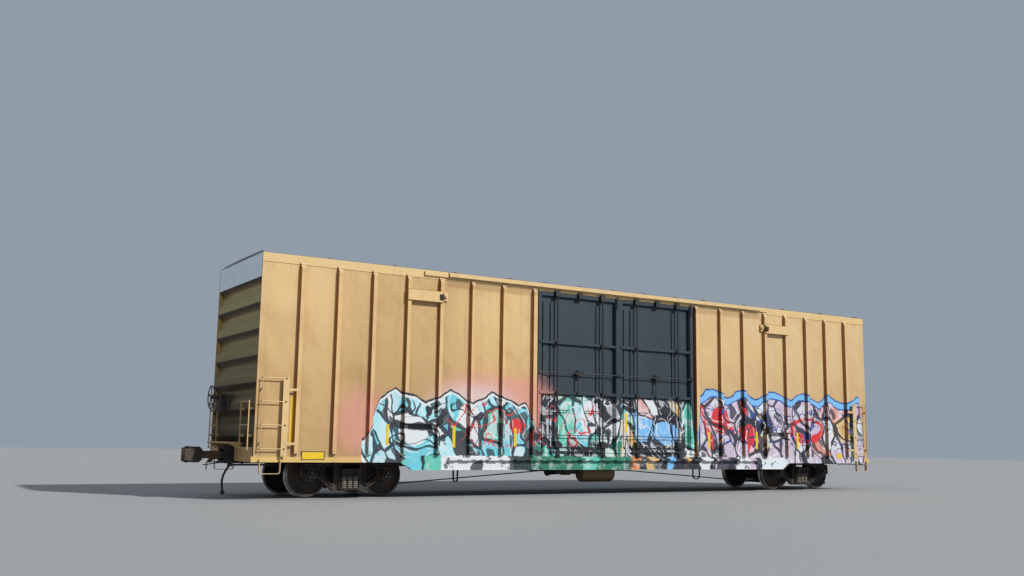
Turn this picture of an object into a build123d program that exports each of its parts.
# Double plug-door high-cube boxcar, sixty foot class, standing on its wheels.
# Millimetres. X runs along the car, with the hand brake end (end "b") at -X.
# Y runs across it, with the "right" side at -Y. Z is up, and z = 0 is the lowest
# point of the wheel flanges, so the rail top would lie at z = RAIL_Z.
# Pieces are drawn for the +X, +Y corner and mirrored to the other corners.
from build123d import *
import math
import os

# Wheels and axles
TREAD_R = 457.2           # radius of the wheel on its tread
FLANGE_H = 25.4           # flange beyond the tread
RIM_W = 145.0             # tread and flange together
RIM_T = 62.0              # rim thickness under the tread
PLATE_T = 24.0            # wheel plate
PLATE_OFF = 90.0          # middle of the plate at the rim, outward from the wheel's inner face
PLATE_DISH = 16.0         # how far the plate bows inward halfway
HUB_R = 140.0
HUB_L = 178.0
HUB_OFF = 61.0            # middle of the hub, outward from the wheel's inner face
BACK_TO_BACK = 1350.0     # between the wheels' inner faces
WHEEL_SEAT_R = 100.0      # axle inside the hubs
WHEEL_FIT = 0.3           # between the axle and a hub pressed on it
AXLE_R = 88.0             # axle between the wheels
AXLE_WAIST = 4.0          # the axle is this much thinner at its middle
DUST_GUARD_R = 93.0       # axle between hub and bearing
DUST_GUARD_L = 83.5
JOURNAL_R = 82.0          # axle inside the bearings
BEARING_R = 127.0
BEARING_L = 190.0
BEARING_GAP = 0.3         # radial running clearance of the journal in its bearing
END_CAP_R = 92.0
END_CAP_T = 34.0
END_CAP_GAP = 6.0         # between the bearing and its end cap
WHEEL_IN = BACK_TO_BACK / 2
HUB_IN = WHEEL_IN + HUB_OFF - HUB_L / 2
HUB_OUT = HUB_IN + HUB_L
JOURNAL_Y = HUB_OUT + DUST_GUARD_L + BEARING_L / 2
JOURNAL_CENTRES = 2 * JOURNAL_Y

# Heights, each from the rail top up
RAIL_Z = FLANGE_H
AXLE_Z = RAIL_Z + TREAD_R
DEEP_SILL_Z = RAIL_Z + 585.0    # lowest edge of the deep middle part of a side sill
SILL_Z = RAIL_Z + 750.0         # bottom of the side sill over the trucks
SHELF_Z = RAIL_Z + 865.0        # top of the lower door track
POST_FOOT_Z = RAIL_Z + 930.0
SILL_TOP_Z = RAIL_Z + 1050.0    # seam between side sill and side sheets
FLOOR_Z = RAIL_Z + 1090.0       # load floor
BAND_Z = RAIL_Z + 4580.0        # lower edge of the plain band on the end walls
CHORD_Z = RAIL_Z + 4900.0       # lower edge of the side plate under the eave
EAVE_Z = RAIL_Z + 5088.0        # top of the side plate
RIB_TOP_Z = RAIL_Z + 5182.0     # top of the roof ribs, the highest point

# Body plan
BODY_X = 9374.0           # half length over the corner posts
LOAD_X = 9258.5           # half length of the load space
SHEET_Y = 1535.0          # half width over the side sheets
LOAD_Y = 1448.0           # half width of the load space
POST_DEPTH = 85.0         # how far the side posts stand out
CORNER_T = 35.0           # corner post seen from the end
PLATE_STEP = 6.0          # side plate stands out over the sheets by this
POST_X = (3476.0, 4325.0, 5161.0, 5990.0, 6829.0, 7652.0, 8497.0)
POST_FRONT_W = 88.0
POST_BACK_W = 128.0
POST_TAPER = 60.0
DOOR_POST_X = 2600.0
DOOR_POST_W = 104.0
OPENING_X = 2490.0        # half width of the door opening
POST_RISE = 55.0          # posts overlap the side plate by this
POST_Y = SHEET_Y + POST_DEPTH

# Corrugated ends
CORR_PITCH = 553.0
CORR_DEPTH = 90.0
CORR_SLOPE = 125.0        # height of each slanted face
CORR_FLAT = 150.0         # height of the recessed face
CORR_COUNT = 6

# Roof
ROOF_EDGE_T = 12.0
ROOF_CROWN = 52.0         # ridge above the eave
ROOF_RIB_X = (0.0, 1050.0, 2110.0, 3140.0, 4670.0, 6210.0, 7780.0, 9290.0)
ROOF_RIB_W = 110.0
ROOF_RIB_FLANK = 72.0     # slope of the flanks, in degrees
ROOF_RIB_SHOULDER_Y = 1300.0
ROOF_RIB_END_Y = 1480.0

# Floor and frame
FLOOR_T = 60.0
UNDER_Z = FLOOR_Z - FLOOR_T
BEARING_PLATE_Z = UNDER_Z - 250.0   # flat under the body bolster, over the side bearings
SILL_PLATE_T = 12.0
CENTRE_WEB_Y = 163.5      # inner faces of the centre sill webs
CENTRE_WEB_T = 16.0
CENTRE_FLANGE_W = 90.0
CENTRE_SILL_Z = RAIL_Z + 700.0
TRUCK_X = 7048.5          # truck centres
BOLSTER_W = 360.0
SIDE_BEARING_Y = 635.0
CROSSBEARER_X = (1250.0, 2545.0, 3900.0, 5161.0)
CROSSBEARER_W = 150.0
END_SILL_W = 140.0
DEEP_SILL_X = 5800.0      # where the deep part of the side sill is at full depth
DEEP_SLOPE = 260.0
DEEP_FLANGE_W = 95.0

# Door tracks
TRACK_X = 4980.0
HOOD_Y = SHEET_Y + 84.0
HOOD_LIP = 72.0
HOOD_T = 12.0
HOOD_EXT_X = (-5280.0, 5600.0)    # the shallow ends past the posts
HOOD_EXT_Y = SHEET_Y + 45.0
HOOD_EXT_Z = CHORD_Z + POST_RISE + 8.0
HOOD_DROP = 36.0          # slope of the hood's top
HOOD_LIP_Z = EAVE_Z - HOOD_DROP
SHELF_X = 4880.0
SHELF_Y = SHEET_Y + 78.0
SHELF_LIP = 64.0
SHELF_NOTCH_PITCH = 370.0
SHELF_NOTCH_W = 120.0
SHELF_NOTCH_H = 20.0

# Plug doors. A place along a leaf runs from its outer edge, beside its door post
DOOR_GAP = 9.0            # half the gap where the two leaves meet
DOOR_EDGE_GAP = 14.0      # between a leaf and the opening
DOOR_FOOT_Z = SILL_TOP_Z - 60.0   # the frame hangs down outside the sill
DOOR_HEAD_Z = CHORD_Z - 16.0
DOOR_SEAT_GAP = 4.0       # between the plug and the sill under it
DOOR_BACK_Y = SHEET_Y - 46.0      # sheet between the pressed panels
DOOR_PANEL_Y = SHEET_Y - 20.0     # pressed panels
DOOR_FRAME_Y = SHEET_Y + 14.0     # stile and rails
DOOR_BEAM_Y = SHEET_Y + 34.0      # cross beams
DOOR_EDGE_Y = SHEET_Y + 46.0      # column where the leaves meet
DOOR_STILE_W = 95.0
DOOR_RAIL_H = 90.0
DOOR_EDGE_W = 137.0
DOOR_PANELS = ((160.0, 295.0), (378.0, 1670.0), (1772.0, 2190.0))   # start, end
DOOR_PANEL_R = 55.0
DOOR_PANEL_FOOT = 40.0    # from the bottom rail up to the panels
DOOR_PANEL_HEAD = 124.0   # from the panels up to the top rail
DOOR_BEAM_Z = (RAIL_Z + 3660.0, RAIL_Z + 2440.0)
DOOR_BEAM_H = 80.0
DOOR_BEAM_SLOPE = 16.0    # fall of a beam's top face

# Locking gear of a leaf: pipes, guides, cross rod, cranks and rollers
LOCK_PIPES = (535.0, 1915.0)      # places along the leaf
LOCK_PIPE_R = 17.0
LOCK_PIPE_Y = SHEET_Y + 64.0
LOCK_GUIDE = (92.0, 64.0)         # width and height of a guide
LOCK_HANGERS = (535.0, 1235.0, 1915.0)
LOCK_HANGER = (130.0, 150.0)      # width and height
LOCK_HANGER_RISE = 50.0   # above the leaf
EDGE_LATCH = (60.0, 300.0)        # width and height of the catch on the meeting column
LOCK_ROD_Z = RAIL_Z + 2920.0
LOCK_ROD_R = 13.0
LOCK_ROD_OVER = 58.0      # the cross rod reaches this far past the leaf
LOCK_KEEPER = (50.0, 70.0)        # width and height
GEAR_BOX_AT = 1210.0
GEAR_BOX = (240.0, 140.0)         # width and height
LEVER_AT = 1155.0
LEVER = (32.0, 12.0)      # width and thickness
GRAB_Z = RAIL_Z + 2010.0
GRABS = ((380.0, 920.0), (1450.0, 1915.0))     # start, end
GRAB_R = 10.0
TIE_ROD_Z = RAIL_Z + 1410.0
TIE_ROD = (48.0, 2370.0)          # start, end
LINK_Z = (RAIL_Z + 1120.0, RAIL_Z + 1018.0)
LINK = (365.0, 1985.0)            # start, end
LINK_H = 26.0
CRANK_W = 150.0
CRANK_TOP_Z = RAIL_Z + 1270.0
ROLLER_R = 45.0
ROLLER_W = 30.0
CARRIAGE_T = 24.0
CARRIAGE_W = 90.0

# Ladders and steps at the corners
LADDER_X = 9270.0         # outer stile
LADDER_PLATE_X = 8765.0   # middle of the wide inner stile
LADDER_PLATE_W = 130.0
LADDER_PLATE_FOOT_Z = SHELF_Z + 5.0
LADDER_Z = (RAIL_Z + 1020.0, RAIL_Z + 1503.0, RAIL_Z + 1986.0, RAIL_Z + 2469.0)
LADDER_Y = SHEET_Y + 74.0
RUNG_R = 11.0
STILE_W = 50.0
STILE_T = 10.0
STRAP_T = 5.0             # straps from the inner stile to the next post
STANDOFF_Z = (RAIL_Z + 1130.0, RAIL_Z + 2240.0)
END_LADDER_Y = (850.0, 1400.0)
END_LADDER_OUT = 86.0
END_RUNGS = 3
STEP_X = (8816.5, 9253.5)     # middle lines of the legs
STEP_DROP = 230.0         # tread below the sill
STEP_RISE = 60.0          # legs lap up over the sill
STEP_T = 13.0
STEP_W = 60.0
STEP_R = 50.0             # bends
RUB_PLATE_X = 9420.0      # plate along the sill's foot, past the corner post
RUB_PLATE_T = 9.0

# Platform, brake and coupler
PLATFORM_Y = 760.0
PLATFORM_OUT = 300.0
PLATFORM_Z = RAIL_Z + 1150.0
PLATFORM_T = 30.0
BRAKE_Y = 600.0
BRAKE_Z = RAIL_Z + 1990.0
BRAKE_BOX = (130.0, 330.0, 400.0)
BRAKE_PLATE = (20.0, 640.0, 360.0)
BRAKE_PLATE_Y = 520.0
BRAKE_WHEEL_R = 250.0
BRAKE_RIM_R = 13.0
BRAKE_WHEEL_Z = RAIL_Z + 2110.0
BRAKE_WHEEL_OUT = 310.0
BRAKE_ROD_R = 11.0
BRAKE_ROD_OUT = 85.0
BRAKE_ROD_FOOT_Z = SILL_Z + 40.0
STRIKER_X = BODY_X + 190.0
COUPLER_Z = RAIL_Z + 876.0
COUPLER_FACE_X = 10330.0
COUPLER_PIN_X = 8900.0
SHANK_W = 132.0
SHANK_H = 158.0
HEAD_H = 240.0            # coupler head and its guard arm
LUG_Z = (142.0, 164.0)    # knuckle lugs, from the coupler's axis up and down
KNUCKLE_H = 280.0
KNUCKLE_R = 62.0          # its hub
KNUCKLE_AT = (COUPLER_FACE_X - 58.0, -118.0)
KNUCKLE_PIN_R = 20.0

# Trucks
WHEEL_BASE = 1778.0
FRAME_W = 150.0           # side frame over its flanges
FRAME_WEB_T = 44.0
FRAME_FLANGE_T = 19.0
FRAME_TOP_Z = RAIL_Z + 768.0
FRAME_FOOT_Z = RAIL_Z + 130.0
FRAME_SEAT_Z = RAIL_Z + 180.0     # spring seat
FRAME_CHORD_H = 68.0      # top member
FRAME_BOLSTER_X = 225.0   # half the opening for the bolster
FRAME_COLUMN_W = 125.0    # between that opening and the window
PEDESTAL_HALF = 141.0     # half the opening for the bearing
PEDESTAL_HORN = 70.0
PEDESTAL_FOOT_Z = RAIL_Z + 430.0
ADAPTER_W = 200.0
ADAPTER_H = 32.0          # from the bearing up to the pedestal's roof
SPRING_R = 62.0
SPRING_FOOT_Z = FRAME_SEAT_Z
SPRING_HEAD_Z = RAIL_Z + 430.0
CENTRE_PLATE_R = 200.0
CENTRE_PLATE_Z = RAIL_Z + 670.0
CENTRE_GAP = 0.5
TRUCK_BOLSTER_W = 400.0
TRUCK_BOLSTER_TOP_Z = RAIL_Z + 640.0
TRUCK_BOLSTER_FOOT_Z = RAIL_Z + 330.0
BOLSTER_POCKET = (300.0, 120.0, 60.0)     # length, height and depth of its end pockets
BRAKE_BEAM_Z = RAIL_Z + 330.0
BRAKE_BEAM = (60.0, 90.0)         # thickness and height
SHOE_GAP = 12.0           # between a brake shoe and the tread
SHOE_T = 78.0             # shoe and head together
BRAKE_LEVER_H = 200.0     # truck lever above and below its beam
BOTTOM_ROD_Z = RAIL_Z + 250.0
BOTTOM_ROD_R = 16.0
ROOM = 6.0                # running room of pieces that move past each other

# Air brake under the floor
TANK_R = 215.0
TANK_L = 1040.0
TANK_POS = (10.0, -520.0, RAIL_Z + 462.0)
CYLINDER_R = 150.0
CYLINDER_L = 430.0
CYLINDER_POS = (-620.0, 470.0, RAIL_Z + 515.0)
VALVE_POS = (-880.0, -430.0, RAIL_Z + 520.0)
VALVE_BRACKET = (200.0, 190.0, 200.0)
VALVE_R = 78.0
VALVE_L = 210.0
BODY_ROD_R = 14.0
# Brake rods at the middle of the car: x and height above the rail of each end
BODY_RODS = (((-6640.0, 145.0), (-1350.0, 515.0)), ((1520.0, 510.0), (6640.0, 150.0)))
CENTRE_ROD_Y = 200.0      # the rod between the two body levers
BODY_LEVERS = ((-1350.0, 515.0, 560.0), (1520.0, 510.0, 420.0))   # x, height, reach to +Y
BODY_LEVER = (60.0, 24.0)         # width and thickness
ROD_GUIDES = ((-3830.0, 250.0, 95.0), (3950.0, 262.0, 125.0))     # x, lowest point, half width
GUIDE_BAR = 20.0
PIPE_R = 21.0             # train pipe
PIPE_Y = 350.0
PIPE_Z = RAIL_Z + 670.0
PIPE_CROSS_X = (1500.0, 1950.0)   # where it crosses under the centre sill
PIPE_END_X = 9440.0
PIPE_HANGER_X = (600.0, 2250.0, 3600.0, 5400.0, 8200.0, 9200.0)
COCK_R = 34.0             # angle cock
COCK_L = 90.0
COCK_HANDLE = 110.0
NIPPLE_R = 27.0
NIPPLE_L = 45.0
HOSE_R = 24.0
# Route of an air hose from its angle cock: outward, down
HOSE_ROUTE = ((0.0, 0.0), (62.0, 98.0), (98.0, 212.0), (104.0, 330.0), (88.0, 440.0))
GLADHAND_R = 44.0
GLADHAND_T = 34.0
GLADHAND_L = 66.0
CUT_ROD_R = 11.0
CUT_ROD_OUT = 130.0       # uncoupling rod ahead of the end sill
CUT_ROD_Z = SILL_Z - 48.0
CUT_ROD_Y = (290.0, 1330.0)       # inner bend and handle
CUT_ROD_HANGERS = (470.0, 1180.0)
CUT_HANDLE = 190.0
CUT_ARM = (9960.0, 40.0, RAIL_Z + 660.0)       # its end, below the coupler

# Floor stringers
STRINGER_Y = (600.0, 1040.0)
STRINGER_W = 64.0
STRINGER_H = 78.0
STRINGER_T = 9.0

SEAT = 0.3                # fit of pieces that lie against each other
COUPLER_PIN_R = 44.0

SIDES = (("right", -1), ("left", 1))
ENDS = (("b", -1), ("a", 1))


def save(piece, name):
    """Label a finished piece and write it as its own file."""
    piece.label = name
    export_step(piece, f"parts/{name}.step")


def corner(piece, end, side):
    """A piece drawn for the +X, +Y corner, mirrored to another corner."""
    if end < 0:
        piece = mirror(piece, about=Plane.YZ)
    if side < 0:
        piece = mirror(piece, about=Plane.XZ)
    return piece


def turned(piece):
    """A piece turned half round, to the other side and the other end."""
    return Rotation(0, 0, 180) * piece


def group(*pieces):
    """Several pieces as one set of solids."""
    return Compound(children=[solid for piece in pieces for solid in piece.solids()])


def both_sides(piece):
    """The piece and its mirror image across the car."""
    return group(piece, mirror(piece, about=Plane.XZ))


def both_ends(piece):
    """The piece and its mirror image at the other end."""
    return group(piece, mirror(piece, about=Plane.YZ))


os.makedirs("parts", exist_ok=True)

# Side walls: one panel from a door post to the corner, with its outside posts
with BuildPart() as side_wall:
    with BuildSketch(Plane.XY.offset(SILL_TOP_Z)):
        with BuildLine():
            Polyline(
                (OPENING_X, LOAD_Y), (LOAD_X, LOAD_Y), (LOAD_X, SHEET_Y - CORNER_T),
                (BODY_X, SHEET_Y - CORNER_T), (BODY_X, SHEET_Y), (OPENING_X, SHEET_Y),
                close=True,
            )
        make_face()
    extrude(amount=CHORD_Z - SILL_TOP_Z)

# Side posts: hat sections on the sheets, lapping over the sill and the side plate
with BuildPart() as side_posts:
    with BuildSketch(Plane.XY.offset(POST_FOOT_Z)):
        for x in POST_X:
            with BuildLine():
                Polyline(
                    (x - POST_BACK_W / 2, SHEET_Y), (x + POST_BACK_W / 2, SHEET_Y),
                    (x + POST_FRONT_W / 2, POST_Y), (x - POST_FRONT_W / 2, POST_Y),
                    close=True,
                )
            make_face()
        with Locations((DOOR_POST_X, SHEET_Y + POST_DEPTH / 2)):
            Rectangle(DOOR_POST_W, POST_DEPTH)
    extrude(amount=CHORD_Z + POST_RISE - POST_FOOT_Z)
    with BuildSketch(Plane.YZ.offset(OPENING_X)):
        with BuildLine():
            Polyline(
                (POST_Y + 1, CHORD_Z + POST_RISE - POST_TAPER * 2),
                (POST_Y + 1, CHORD_Z + POST_RISE + 1),
                (SHEET_Y + PLATE_STEP + 8, CHORD_Z + POST_RISE + 1),
                close=True,
            )
        make_face()
        with Locations((SHEET_Y, CHORD_Z + POST_RISE / 2 + 1)):
            Rectangle(PLATE_STEP * 2, POST_RISE + 2)
    extrude(amount=BODY_X - OPENING_X, mode=Mode.SUBTRACT)

# Side plate under the eave, over the whole length, and the header above the doors
with BuildPart() as side_plate:
    with BuildSketch(Plane.YZ.offset(-BODY_X)):
        with Locations((LOAD_Y, CHORD_Z)):
            Rectangle(
                SHEET_Y + PLATE_STEP - LOAD_Y, EAVE_Z - CHORD_Z,
                align=(Align.MIN, Align.MIN),
            )
    extrude(amount=2 * BODY_X)
    with Locations((BODY_X, LOAD_Y, CHORD_Z), (-BODY_X, LOAD_Y, CHORD_Z)):
        Box(
            2 * (BODY_X - LOAD_X), 2 * (SHEET_Y - CORNER_T - LOAD_Y),
            2 * (EAVE_Z - CHORD_Z), mode=Mode.SUBTRACT,
        )

# Side sill: a channel, deep between the trucks, with the lower door track on it
with BuildPart() as side_sill:
    with BuildSketch(Plane.XZ.offset(-SHEET_Y)):
        with BuildLine():
            Polyline(
                (-BODY_X, SILL_TOP_Z), (BODY_X, SILL_TOP_Z), (BODY_X, SILL_Z),
                (DEEP_SILL_X + DEEP_SLOPE, SILL_Z), (DEEP_SILL_X, DEEP_SILL_Z),
                (-DEEP_SILL_X, DEEP_SILL_Z), (-DEEP_SILL_X - DEEP_SLOPE, SILL_Z),
                (-BODY_X, SILL_Z), close=True,
            )
        make_face()
    extrude(amount=SILL_PLATE_T)
    with BuildSketch(Plane.XZ.offset(-SHEET_Y + SILL_PLATE_T)):
        with Locations((0, SILL_TOP_Z)):
            Rectangle(2 * BODY_X, SILL_PLATE_T, align=(Align.CENTER, Align.MAX))
        for end in (-1, 1):
            middle = end * (BODY_X + DEEP_SILL_X + DEEP_SLOPE) / 2
            with Locations((middle, SILL_Z)):
                Rectangle(
                    BODY_X - DEEP_SILL_X - DEEP_SLOPE, SILL_PLATE_T,
                    align=(Align.CENTER, Align.MIN),
                )
    extrude(amount=SHEET_Y - SILL_PLATE_T - LOAD_Y)
    for end in (-1, 1):
        with Locations((end * RUB_PLATE_X, SHEET_Y, SILL_Z)):
            Box(
                RUB_PLATE_X - DEEP_SILL_X - DEEP_SLOPE, RUB_PLATE_T, SHELF_Z - SILL_Z,
                align=(Align.MAX if end > 0 else Align.MIN, Align.MIN, Align.MIN),
            )
    with BuildSketch(Plane.XY.offset(DEEP_SILL_Z)):
        with Locations((0, SHEET_Y - DEEP_FLANGE_W / 2 + 25)):
            Rectangle(2 * DEEP_SILL_X, DEEP_FLANGE_W)
    extrude(amount=SILL_PLATE_T)
    with BuildSketch(Plane.YZ.offset(-SHELF_X)):
        with BuildLine():
            Polyline(
                (SHEET_Y, SHELF_Z), (SHELF_Y, SHELF_Z), (SHELF_Y, SHELF_Z - SHELF_LIP),
                (SHELF_Y - SILL_PLATE_T, SHELF_Z - SHELF_LIP),
                (SHELF_Y - SILL_PLATE_T, SHELF_Z - SILL_PLATE_T),
                (SHEET_Y, SHELF_Z - SILL_PLATE_T), close=True,
            )
        make_face()
    extrude(amount=2 * SHELF_X)
    notches = int(2 * SHELF_X / SHELF_NOTCH_PITCH)
    with Locations((0, SHELF_Y, SHELF_Z - SHELF_LIP)):
        with GridLocations(SHELF_NOTCH_PITCH, 1, notches, 1):
            Box(SHELF_NOTCH_W, 3 * SILL_PLATE_T, 2 * SHELF_NOTCH_H, mode=Mode.SUBTRACT)

# Upper door track: a sloping hood with a lip, longer and shallower past the posts
with BuildPart() as door_hood:
    with BuildSketch(Plane.YZ.offset(-TRACK_X)):
        with BuildLine():
            Polyline(
                (SHEET_Y + PLATE_STEP, EAVE_Z), (HOOD_Y, HOOD_LIP_Z),
                (HOOD_Y, HOOD_LIP_Z - HOOD_LIP), (HOOD_Y - HOOD_T, HOOD_LIP_Z - HOOD_LIP),
                (HOOD_Y - HOOD_T, HOOD_LIP_Z - HOOD_T),
                (SHEET_Y + PLATE_STEP, EAVE_Z - HOOD_T), close=True,
            )
        make_face()
    extrude(amount=2 * TRACK_X)
    for x in HOOD_EXT_X:
        with BuildSketch(Plane.YZ.offset(x)):
            with BuildLine():
                Polyline(
                    (SHEET_Y + PLATE_STEP, EAVE_Z - 20), (HOOD_EXT_Y, EAVE_Z - 44),
                    (HOOD_EXT_Y, HOOD_EXT_Z), (SHEET_Y + PLATE_STEP, HOOD_EXT_Z), close=True,
                )
            make_face()
        extrude(amount=-x - TRACK_X if x < 0 else TRACK_X - x)

# Door stops: a channel across two posts high up and one lower down, with bumpers
STOPS = ((1, RAIL_Z + 4505.0), (1, RAIL_Z + 1685.0), (-1, RAIL_Z + 4505.0), (-1, RAIL_Z + 1795.0))   # end, height
STOP_H = 150.0
STOP_DEPTH = 46.0
BUMPER_L = 96.0
BUMPER_H = 190.0
STOP_PLATE_T = 12.0
with BuildPart() as door_stop:
    for end, z in STOPS:
        bay = POST_X[3] - POST_X[2] - POST_BACK_W
        with Locations((end * (POST_X[2] + POST_X[3]) / 2, SHEET_Y + SEAT, z)):
            Box(bay, STOP_DEPTH, STOP_H, align=(Align.CENTER, Align.MIN, Align.CENTER))
            Box(
                bay, STOP_DEPTH - STOP_PLATE_T, STOP_H - 2 * STOP_PLATE_T,
                align=(Align.CENTER, Align.MIN, Align.CENTER), mode=Mode.SUBTRACT,
            )
        bumper_x = end * (POST_X[2] - POST_BACK_W / 2 - BUMPER_L / 2)
        with Locations((bumper_x, SHEET_Y + SEAT, z)):
            Box(BUMPER_L, STOP_DEPTH, BUMPER_H, align=(Align.CENTER, Align.MIN, Align.CENTER))
        with Locations((bumper_x, SHEET_Y + STOP_DEPTH, z)):
            Cylinder(
                BUMPER_L / 3, POST_DEPTH - STOP_DEPTH, rotation=(-90, 0, 0),
                align=(Align.CENTER, Align.CENTER, Align.MIN),
            )

# Plug door leaf: a sheet with pressed panels in a frame, two beams and the meeting column
LEAF_X0 = DOOR_GAP
LEAF_X1 = OPENING_X - DOOR_EDGE_GAP
LEAF_W = LEAF_X1 - LEAF_X0
LEAF_STEP = LEAF_W + 2 * DOOR_GAP
LEAF_H = DOOR_HEAD_Z - DOOR_FOOT_Z
LEAF_XC = (LEAF_X0 + LEAF_X1) / 2
LEAF_ZC = (DOOR_FOOT_Z + DOOR_HEAD_Z) / 2
PANEL_FOOT_Z = DOOR_FOOT_Z + DOOR_RAIL_H + DOOR_PANEL_FOOT
PANEL_HEAD_Z = DOOR_HEAD_Z - DOOR_RAIL_H - DOOR_PANEL_HEAD
with BuildPart() as door_leaf:
    with Locations((LEAF_XC, LOAD_Y, LEAF_ZC)):
        Box(LEAF_W, DOOR_BACK_Y - LOAD_Y, LEAF_H, align=(Align.CENTER, Align.MIN, Align.CENTER))
    with BuildSketch(Plane.XZ.offset(-DOOR_PANEL_Y)):
        for start, end in DOOR_PANELS:
            with Locations((LEAF_X1 - (start + end) / 2, (PANEL_FOOT_Z + PANEL_HEAD_Z) / 2)):
                RectangleRounded(end - start, PANEL_HEAD_Z - PANEL_FOOT_Z, DOOR_PANEL_R)
    extrude(amount=DOOR_PANEL_Y - DOOR_BACK_Y)
    with BuildSketch(Plane.XZ.offset(-DOOR_FRAME_Y)):
        with Locations((LEAF_XC, LEAF_ZC)):
            Rectangle(LEAF_W, LEAF_H)
        with Locations((LEAF_X1 - DOOR_STILE_W, LEAF_ZC)):
            Rectangle(
                LEAF_W - DOOR_STILE_W - DOOR_EDGE_W, LEAF_H - 2 * DOOR_RAIL_H,
                align=(Align.MAX, Align.CENTER), mode=Mode.SUBTRACT,
            )
    extrude(amount=DOOR_FRAME_Y - DOOR_BACK_Y)
    with BuildSketch(Plane.YZ.offset(LEAF_X0)):
        for z in DOOR_BEAM_Z:
            with BuildLine():
                Polyline(
                    (DOOR_BACK_Y, z + DOOR_BEAM_H / 2), (DOOR_BEAM_Y, z + DOOR_BEAM_H / 2 - DOOR_BEAM_SLOPE),
                    (DOOR_BEAM_Y, z - DOOR_BEAM_H / 2), (DOOR_BACK_Y, z - DOOR_BEAM_H / 2), close=True,
                )
            make_face()
    extrude(amount=LEAF_W - DOOR_STILE_W / 2)
    with BuildSketch(Plane.XY.offset(DOOR_FOOT_Z)):
        with BuildLine():
            Polyline(
                (LEAF_X0, DOOR_BACK_Y), (LEAF_X0, DOOR_EDGE_Y - 10), (LEAF_X0 + 10, DOOR_EDGE_Y),
                (LEAF_X0 + DOOR_EDGE_W - 24, DOOR_EDGE_Y), (LEAF_X0 + DOOR_EDGE_W, DOOR_BACK_Y), close=True,
            )
        make_face()
    extrude(amount=LEAF_H)
    with Locations((LEAF_XC, SHEET_Y + SEAT, SILL_TOP_Z + DOOR_SEAT_GAP)):
        Box(
            2 * LEAF_W, SHEET_Y, SILL_TOP_Z, mode=Mode.SUBTRACT,
            align=(Align.CENTER, Align.MAX, Align.MAX),
        )

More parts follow.
